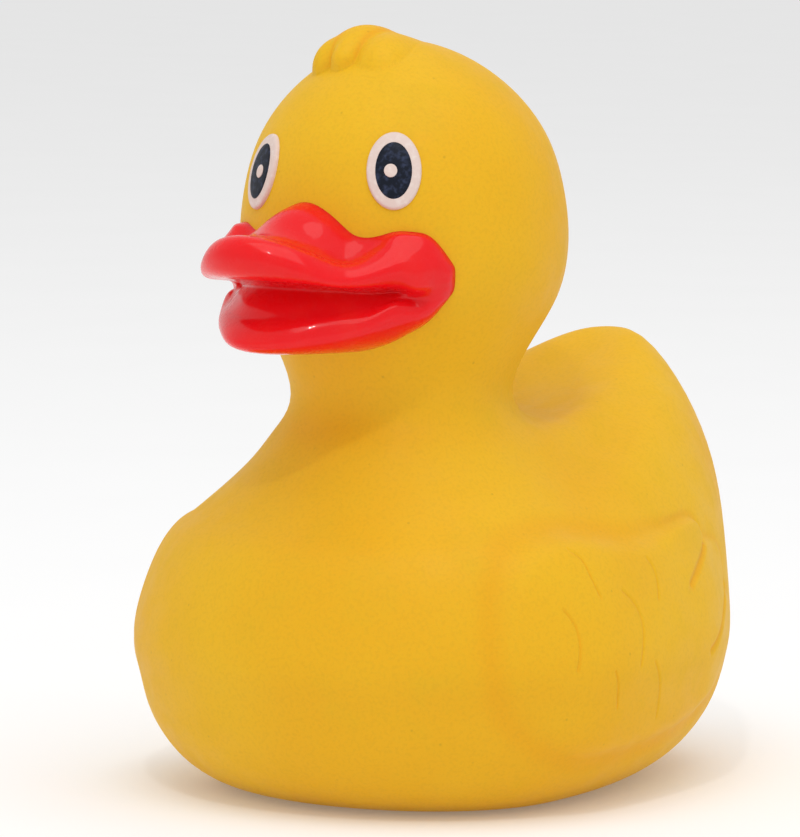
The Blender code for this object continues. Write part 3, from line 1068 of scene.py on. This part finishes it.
        # Painted shade in the tuft's folds, kept for the vinyl's colour.
        painted_shade_layer = mesh.attributes.new("fold", "FLOAT", "POINT")
        painted_shade_layer.data.foreach_set("value", np.concatenate([fold, np.zeros(len(points) - len(co))]))
        bm = bmesh.new()
        bm.from_mesh(mesh)
        bmesh.ops.recalc_face_normals(bm, faces=bm.faces)
        return mesh_object("skin_before_wings", bm)

    @staticmethod
    def strip(first: list[int], second: list[int]) -> list[tuple[int, ...]]:
        """Gives the faces between two rings of vertices.

        Args:
            first: One ring's vertices.
            second: The other's. One ring may be a point, or finer than the other.

        Returns:
            The vertices of each face.
        """
        if len(first) < len(second):
            first, second = second, first
        many, few = len(first), len(second)
        if few == 1:
            return [(first[k], first[(k + 1) % many], second[0]) for k in range(many)]
        share = many // few
        faces = []
        for k in range(few):
            corner, after = second[k], second[(k + 1) % few]
            fine = [first[(k * share + j) % many] for j in range(share + 1)]
            half = share // 2
            faces += [(fine[j], fine[j + 1], corner) for j in range(half)]
            faces.append((fine[half], after, corner))
            faces += [(fine[j], fine[j + 1], after) for j in range(half, share)]
        return faces

    def build(self) -> tuple[bpy.types.Object, BVHTree]:
        """Makes the body.

        Returns:
            The piece, and a search tree of its skin before the wings are pressed.
        """
        vinyl = SoftVinyl().build()
        rough = self.shell()
        tree = skin_tree(rough)
        helpers = {"Plate": self.wings.plate(),
                   "Barbs": self.wings.wire("wing_barbs", self.wings.barbs),
                   "Slits": self.wings.wire("wing_slits", self.wings.slits)}
        use_tree(rough, self.wings.tree(), {**helpers, **self.wings.sizes, "Vinyl": vinyl})
        piece = baked_object(rough, "vinyl_skin")
        for helper in helpers.values():
            bpy.data.objects.remove(helper)
        return piece, tree


@dataclass
class Bill:
    """The open bill, wrapped round the face, with its tongue.

    A mouth section is the azimuth off the front, in degrees, and the section's outline from the
    brow over the upper lip, the tongue and the lower lip to the chin, as reaches from the neck's
    axis and heights, in millimetres. A corner section is its azimuth, the heights of its brow and
    chin, and how far it stands off the face.
    """

    mouth: tuple[tuple[float, Line], ...] = (
        (0.0, ((15.8, 64.7), (18.6, 63.8), (21.2, 62.3), (24.0, 61.6), (26.8, 61.7), (28.2, 59.9),
               (27.3, 57.7), (25.0, 57.0), (22.8, 56.7), (21.3, 56.1), (21.6, 55.4), (22.8, 54.3),
               (23.6, 52.9), (24.4, 52.1), (25.4, 50.8), (24.6, 49.4), (19.0, 48.8), (12.4, 48.4))),
        (14.0, ((15.9, 63.1), (17.9, 62.2), (20.0, 60.9), (22.4, 60.1), (24.6, 60.2), (26.1, 58.8),
                (25.6, 57.3), (23.5, 56.7), (21.4, 56.4), (20.1, 55.9), (20.3, 55.3), (21.4, 54.3),
                (22.2, 53.2), (22.8, 52.6), (23.5, 51.3), (22.6, 49.8), (18.0, 49.0), (12.7, 48.7))),
        (22.0, ((16.2, 61.5), (17.2, 60.8), (18.5, 59.8), (20.1, 58.8), (22.0, 58.6), (23.6, 57.5),
                (23.4, 56.6), (22.0, 56.3), (20.3, 56.1), (19.1, 55.7), (19.3, 55.2), (20.1, 54.4),
                (20.7, 53.6), (21.3, 53.0), (21.9, 51.9), (21.3, 50.4), (17.6, 49.3), (12.9, 48.9))),
        (30.0, ((16.4, 61.4), (17.1, 60.9), (17.9, 60.2), (18.9, 59.7), (20.1, 59.0), (21.4, 57.7),
                (21.2, 56.6), (20.2, 56.2), (18.9, 55.9), (18.0, 55.5), (18.2, 55.1), (18.8, 54.5),
                (19.3, 54.0), (19.9, 53.5), (20.5, 52.5), (19.9, 51.1), (17.2, 49.9), (13.2, 49.4))),
        (37.0, ((16.5, 61.9), (17.3, 61.7), (18.0, 61.4), (18.6, 60.8), (19.4, 60.0), (20.5, 58.5),
                (20.4, 57.2), (19.6, 56.4), (18.5, 56.0), (17.5, 55.6), (17.8, 55.2), (18.1, 54.9),
                (18.4, 54.7), (18.9, 54.4), (19.3, 53.3), (18.6, 51.7), (16.5, 50.5), (13.6, 50.1))),
        (43.5, ((16.5, 61.9), (17.2, 61.7), (17.8, 61.5), (18.3, 60.9), (18.9, 60.1), (19.6, 59.0),
                (20.0, 57.9), (19.9, 56.9), (19.5, 56.1), (18.6, 55.6), (18.0, 55.3), (17.7, 55.0),
                (17.7, 54.7), (18.0, 54.2), (18.4, 53.3), (17.8, 52.2), (16.2, 51.4), (14.0, 51.0))),
        (49.5, ((16.6, 61.4), (17.3, 61.2), (17.8, 60.8), (18.2, 60.2), (18.6, 59.5), (18.9, 58.7),
                (19.0, 57.9), (18.9, 57.1), (18.7, 56.4), (18.4, 55.9), (18.1, 55.4), (17.9, 55.0),
                (17.8, 54.6), (17.8, 54.1), (17.6, 53.5), (17.0, 52.8), (16.0, 52.3), (14.8, 52.0))),
        (55.0, ((16.7, 59.7), (17.2, 59.5), (17.5, 59.2), (17.8, 58.8), (18.0, 58.4), (18.1, 57.9),
                (18.15, 57.4), (18.1, 56.9), (18.0, 56.5), (17.8, 56.1), (17.65, 55.7), (17.5, 55.4),
                (17.35, 55.1), (17.2, 54.8), (16.9, 54.4), (16.5, 54.1), (16.1, 53.9), (15.6, 53.7))))
    corners: tuple[tuple[float, float, float, float], ...] = (
        (58.0, 58.3, 55.2, 0.45), (60.0, 57.2, 56.3, -0.4))
    root: float = 0.0080
    sink: float = 0.00015
    corner_fullness: float = 0.75
    section_steps: int = 8
    outline_steps: int = 7

    def reach(self, tree: BVHTree, axis_y: float, azimuth: float, height: float) -> float:
        """Gives the skin's reach from the neck's axis.

        Args:
            tree: The skin's search tree.
            axis_y: Where the axis stands.
            azimuth: The direction off the front, in degrees.
            height: The height off the floor.

        Returns:
            The reach.
        """
        a = math.radians(azimuth)
        out = Vector((math.sin(a), -math.cos(a), 0))
        axis = Vector((0, axis_y, height))
        hit = tree.ray_cast(axis + out * CLEAR, -out)[0]
        return (hit - axis).length

    def sections(self, tree: BVHTree, axis_y: float) -> np.ndarray:
        """Gives the sections of the left half.

        Args:
            tree: The skin's search tree.
            axis_y: Where the neck's axis stands.

        Returns:
            The sections, as rows of azimuth, reach and height.
        """
        rows = []
        for azimuth, outline in self.mouth:
            line = np.array(outline) * MM
            for k in (0, -1):
                line[k, 0] = self.reach(tree, axis_y, azimuth, line[k, 1]) - self.sink
            rows.append(np.column_stack([np.full(len(line), azimuth), line]))
        count = len(self.mouth[0][1])
        for azimuth, brow, chin, stand in self.corners:
            share = np.linspace(0, 1, count)
            height = (brow + (chin - brow) * (1 - np.cos(math.pi * share)) / 2) * MM
            skin = np.array([self.reach(tree, axis_y, azimuth, z) for z in height])
            off = stand * MM * np.sin(math.pi * share) ** self.corner_fullness - self.sink
            rows.append(np.column_stack([np.full(count, azimuth), skin + off, height]))
        return np.array(rows)

    def build(self, tree: BVHTree, axis_y: float) -> bpy.types.Object:
        """Makes the bill.

        Args:
            tree: The skin's search tree.
            axis_y: Where the neck's axis stands.

        Returns:
            The piece.
        """
        half = self.sections(tree, axis_y)
        rows = np.vstack([half[:0:-1] * np.array((-1, 1, 1)), half])
        count = rows.shape[1]
        dense = even_spline(rows.reshape(len(rows), -1), (len(rows) - 1) * self.section_steps + 1)
        bm = bmesh.new()
        grid = []
        for row in dense.reshape(len(dense), count, 3):
            line = even_spline(row, (count - 1) * self.outline_steps + 1)
            first = (line[0, 0], self.root, line[0, 2])
            last = (line[-1, 0], self.root, line[-1, 2])
            azimuth, reach, height = np.vstack([first, line, last]).T
            a = np.radians(azimuth)
            points = np.stack([reach * np.sin(a), axis_y - reach * np.cos(a), height], -1)
            grid.append([bm.verts.new(p) for p in points])
        for first, second in zip(grid, grid[1:]):
            lay_band(bm, first, second)
        for end in (grid[0], grid[-1]):
            bm.faces.new(end)
        bmesh.ops.recalc_face_normals(bm, faces=bm.faces)
        piece = mesh_object("bill", bm)
        piece.data.materials.append(GLOSS_ENAMEL.build())
        return piece


@dataclass(frozen=True)
class Oval:
    """A printed oval: half width and half height, shift to the bill, rim's width and lift."""

    size: tuple[float, float]
    shift: float
    rim: float
    lift: float


@dataclass
class Eyes:
    """The pair of printed eyes: a raised white oval, a pupil and a spark of light.

    A place is its side (1 is the left), its azimuth off the front and its height.
    """

    places: tuple[tuple[int, float, float], ...] = ((1, 36.5, 0.0681), (-1, 30.2, 0.0674))
    white: Oval = Oval((0.0029, 0.0040), 0.0, 0.00035, 0.00040)
    spark: Oval = Oval((0.00075, 0.00075), 0.0003, 0.00012, 0.00052)
    pupil: Oval = Oval((0.0020, 0.00298), 0.0, 0.0002, 0.00046)
    foot: float = 0.0004
    stand_off: float = 0.03
    steps: int = 72
    rim_steps: tuple[float, ...] = (0.0, 0.08, 0.25, 0.5, 0.75, 1.0)
    inner_steps: tuple[float, ...] = (0.15, 0.35, 0.55, 0.75, 0.9)

    def flat(self, oval: Oval, place: tuple[int, float, float], axis_y: float) -> bpy.types.Object:
        """Makes a flat oval in front of the face.

        Args:
            oval: Its sizes.
            place: The eye's place.
            axis_y: Where the neck's axis stands.

        Returns:
            The oval, with the share of its full lift at each vertex.
        """
        side, azimuth, height = place
        a = math.radians(azimuth) * side
        across = Vector((math.cos(a), math.sin(a), 0))
        out = Vector((math.sin(a), -math.cos(a), 0))
        centre = Vector((0, axis_y, height)) + out * self.stand_off - across * oval.shift * side
        (wide, tall), rim = oval.size, oval.rim
        insets = [(rim * s, math.sqrt(1 - (1 - s) ** 2)) for s in self.rim_steps]
        insets += [(rim + (wide - rim) * s, 1.0) for s in self.inner_steps]
        bm = bmesh.new()
        layer = bm.verts.layers.float.new("share")
        rings = []
        for inset, share in insets:
            squeeze = tall / wide if inset > rim else 1
            ring = []
            for k in range(self.steps):
                t = 2 * math.pi * k / self.steps
                u = max(wide - inset, 0) * math.cos(t)
                v = max(tall - inset * squeeze, 0) * math.sin(t)
                ring.append(bm.verts.new(centre + across * u + Vector((0, 0, v))))
                ring[-1][layer] = share
            rings.append(ring)
        middle = bm.verts.new(centre)
        middle[layer] = 1.0
        back = [bm.verts.new(vert.co) for vert in rings[0]]
        foot = bm.verts.new(centre)
        for vert in (*back, foot):
            vert[layer] = -1.0
        for first, second in zip([back] + rings, rings):
            lay_band(bm, first, second)
        lay_fan(bm, rings[-1], middle)
        lay_fan(bm, back, foot)
        bmesh.ops.recalc_face_normals(bm, faces=bm.faces)
        return mesh_object("flat_oval", bm)

    @staticmethod
    def tree() -> bpy.types.NodeTree:
        """Makes the tree that lays a flat oval on the face and gives it its thickness.

        Returns:
            The tree.
        """
        graph, given = new_tree("lay_on_face", {
            "Face": "Object", "Inward": "Vector", "Lift": "Float", "Foot": "Float",
            "Ink": "Material"})
        face = graph.add("GeometryNodeObjectInfo", {"Object": given["Face"]}).outputs["Geometry"]
        normal = graph.add("GeometryNodeInputNormal").outputs[0]
        beam = graph.add("GeometryNodeRaycast", {
            "Target Geometry": face, "Attribute": normal, "Ray Direction": given["Inward"],
            "Ray Length": 1.0}, data_type="FLOAT_VECTOR").outputs
        share = graph.attribute("share")
        up = graph.math("MULTIPLY", graph.math("MAXIMUM", share, 0.0), given["Lift"])
        down = graph.math("MULTIPLY", graph.math("MINIMUM", share, 0.0), given["Foot"])
        laid = graph.add("GeometryNodeSetPosition", {
            "Geometry": given["Geometry"], "Selection": beam["Is Hit"],
            "Position": beam["Hit Position"],
            "Offset": graph.scaled(beam["Attribute"], graph.math("ADD", up, down))})
        return end_tree(graph, laid.outputs[0], given["Ink"])

    def lay(self, name: str, ovals: tuple[Oval, ...], face: bpy.types.Object, axis_y: float,
            ink: bpy.types.Material) -> bpy.types.Object:
        """Makes one piece of ovals that lie on the face, for both eyes.

        Args:
            name: The piece's name.
            ovals: The ovals of each eye.
            face: The skin they lie on.
            axis_y: Where the neck's axis stands.
            ink: The material.

        Returns:
            The piece.
        """
        tree = self.tree()
        bm = bmesh.new()
        for place in self.places:
            a = math.radians(place[1]) * place[0]
            for oval in ovals:
                flat = self.flat(oval, place, axis_y)
                use_tree(flat, tree, {"Face": face, "Inward": (-math.sin(a), math.cos(a), 0.0),
                                      "Lift": oval.lift, "Foot": self.foot, "Ink": ink})
                laid = baked_object(flat, "laid_oval")
                bm.from_mesh(laid.data)
                bpy.data.objects.remove(laid)
        piece = mesh_object(name, bm)
        piece.data.materials.append(ink)
        return piece

    def build(self, face: bpy.types.Object,
              axis_y: float) -> tuple[bpy.types.Object, bpy.types.Object]:
        """Makes the whites with their sparks, and the pupils.

        Args:
            face: The skin they lie on.
            axis_y: Where the neck's axis stands.

        Returns:
            The whites and the pupils.
        """
        whites = self.lay("eye_whites", (self.white, self.spark), face, axis_y,
                          EYE_WHITE_INK.build())
        pupils = self.lay("eye_pupils", (self.pupil,), face, axis_y, EYE_BLACK_INK.build())
        return whites, pupils


@dataclass(frozen=True)
class Softbox:
    """A square soft light: its direction off the front and the floor, distance, width, watts."""

    name: str
    azimuth: float
    elevation: float
    distance: float
    width: float
    power: float


@dataclass
class Studio:
    """The floor, the soft lights and the camera of the photograph."""

    azimuth: float = 38.0
    elevation: float = 6.0
    distance: float = 0.65
    target: tuple[float, float, float] = (0.0, -0.00235, 0.042)
    pixels_per_metre: float = 9190.0
    image_width: int = 800
    image_height: int = 837
    target_column: float = 439.0
    target_row: float = 398.0
    sensor: float = 36.0
    nearest: float = 0.01
    softboxes: tuple[Softbox, ...] = (
        Softbox("top", 55, 72, 0.9, 0.8, 2.8), Softbox("key", 31, 52, 0.7, 0.030, 0.40))
    daylight: float = 0.74
    daylight_colour: Colour = (1.0, 1.0, 1.0, 1)
    floor_half: float = 6.0

    def hang(self, name: str, data: bpy.types.ID, azimuth: float, elevation: float,
             distance: float) -> bpy.types.Object:
        """Hangs a camera or a light so that it faces the duck.

        Args:
            name: Its name.
            data: The camera or light.
            azimuth: Its direction off the duck's front, in degrees.
            elevation: Its angle off the floor, in degrees.
            distance: How far away it is.

        Returns:
            The object.
        """
        a, e = math.radians(azimuth), math.radians(elevation)
        back = Vector((math.sin(a) * math.cos(e), -math.cos(a) * math.cos(e), math.sin(e)))
        obj = bpy.data.objects.new(name, data)
        obj.location = Vector(self.target) + back * distance
        obj.rotation_euler = back.to_track_quat("Z", "Y").to_euler()
        bpy.context.scene.collection.objects.link(obj)
        return obj

    def camera(self) -> None:
        """Places the camera at the photograph's viewing angle."""
        data = bpy.data.cameras.new("camera")
        longer = max(self.image_width, self.image_height)
        data.sensor_width = self.sensor
        data.lens = self.sensor * self.distance * self.pixels_per_metre / longer
        data.shift_x = (self.image_width / 2 - self.target_column) / longer
        data.shift_y = (self.target_row - self.image_height / 2) / longer
        data.clip_start = self.nearest
        bpy.context.scene.camera = self.hang("camera", data, self.azimuth, self.elevation,
                                             self.distance)

    def lights(self) -> None:
        """Hangs the soft lights and sets the light from all round."""
        for box in self.softboxes:
            data = bpy.data.lights.new(box.name, "AREA")
            data.size = box.width
            data.energy = box.power
            self.hang(box.name, data, box.azimuth, box.elevation, box.distance)
        world = bpy.data.worlds.new("studio")
        world.use_nodes = True
        background = world.node_tree.nodes["Background"]
        background.inputs["Color"].default_value = self.daylight_colour
        background.inputs["Strength"].default_value = self.daylight
        bpy.context.scene.world = world

    def floor(self) -> None:
        """Lays the pale floor, which runs far behind the duck."""
        bm = bmesh.new()
        bm.faces.new([bm.verts.new((x * self.floor_half, y * self.floor_half, 0))
                      for x, y in ((-1, -1), (1, -1), (1, 1), (-1, 1))])
        floor = mesh_object("floor", bm)
        floor.data.materials.append(StudioFloor().build())

    def build(self) -> None:
        """Sets the studio up."""
        view = bpy.context.scene.view_settings
        view.view_transform = "Standard"
        view.look = "None"
        self.floor()
        self.lights()
        self.camera()


@dataclass
class RubberDuck:
    """The whole dressed duck."""

    skin: VinylSkin = field(default_factory=VinylSkin)
    bill: Bill = field(default_factory=Bill)
    eyes: Eyes = field(default_factory=Eyes)

    def finish(self, piece: bpy.types.Object, slot: Slot, *nodes: Node) -> None:
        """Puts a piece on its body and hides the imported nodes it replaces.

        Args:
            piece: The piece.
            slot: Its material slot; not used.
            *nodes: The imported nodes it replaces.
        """
        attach(piece, ROOT)
        for node in nodes:
            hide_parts(node.value)
        LOG.info("%s: %d faces", piece.name, len(piece.data.polygons))

    def build(self) -> None:
        """Makes every piece."""
        axis_y = self.skin.lines.axis_y
        body, tree = self.skin.build()
        bill = self.bill.build(tree, axis_y)
        whites, pupils = self.eyes.build(body, axis_y)
        self.finish(body, Slot.VINYL, Node.DUCK_BODY)
        self.finish(bill, Slot.BILL_PAINT, Node.DUCK_BODY)
        self.finish(whites, Slot.EYE_WHITE, Node.DUCK_BODY)
        self.finish(pupils, Slot.EYE_BLACK, Node.DUCK_BODY)
        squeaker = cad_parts[Node.SQUEAKER.value]
        plastic = NATURAL_PLASTIC.build()
        for slot in squeaker.material_slots:
            slot.material = plastic
        LOG.info("%s: its packed shape, dressed", squeaker.name)


def plain(corners: object) -> list[list[float]]:
    """Turns a box's two corners into plain lists."""
    return [[float(v) for v in corner] for corner in corners]


def main() -> None:
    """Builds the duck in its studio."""
    logging.basicConfig(level=logging.INFO)
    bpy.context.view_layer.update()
    RubberDuck().build()
    Studio().build()


if __name__ == "__main__":
    main()
